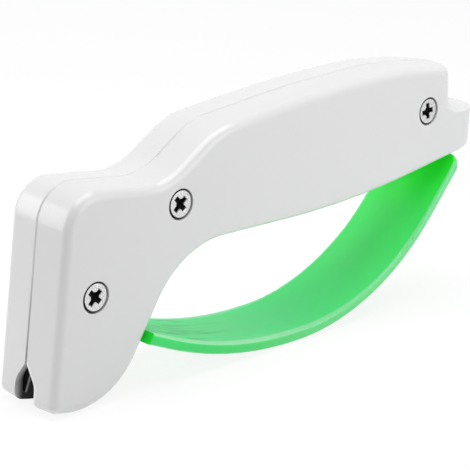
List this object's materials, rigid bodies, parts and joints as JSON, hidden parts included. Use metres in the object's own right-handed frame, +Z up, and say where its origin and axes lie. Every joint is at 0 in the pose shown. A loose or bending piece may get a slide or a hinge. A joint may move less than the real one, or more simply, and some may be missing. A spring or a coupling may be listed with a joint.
{
  "type": "pull through knife sharpener",
  "caption": "Hand-held pull-through knife sharpener: white two-shell handle with a stepped tail, crossed carbide blades in a notch under its head, and a green finger guard.",
  "frame": {"origin": "on the table, under the middle of the whole tool as it stands on its head, with the guard just clear of the table", "axes": "+X from the head towards the tail, -Y towards the side with the screw heads, +Z up"},
  "size_m": [0.1388, 0.021, 0.0605],
  "materials": {
    "white_shell": "glossy injection moulding",
    "green_guard": "satin to glossy moulding",
    "carbide": "ground dark carbide",
    "screw_steel": "bright plated steel"
  },
  "bodies": {
    "root": {"handle_half_near": "white_shell", "handle_half_far": "white_shell", "finger_guard": "green_guard", "carbide_blade_front": "carbide", "carbide_blade_rear": "carbide", "head_screw": "screw_steel", "neck_screw": "screw_steel", "tail_screw": "screw_steel"}
  },
  "joints": []
}
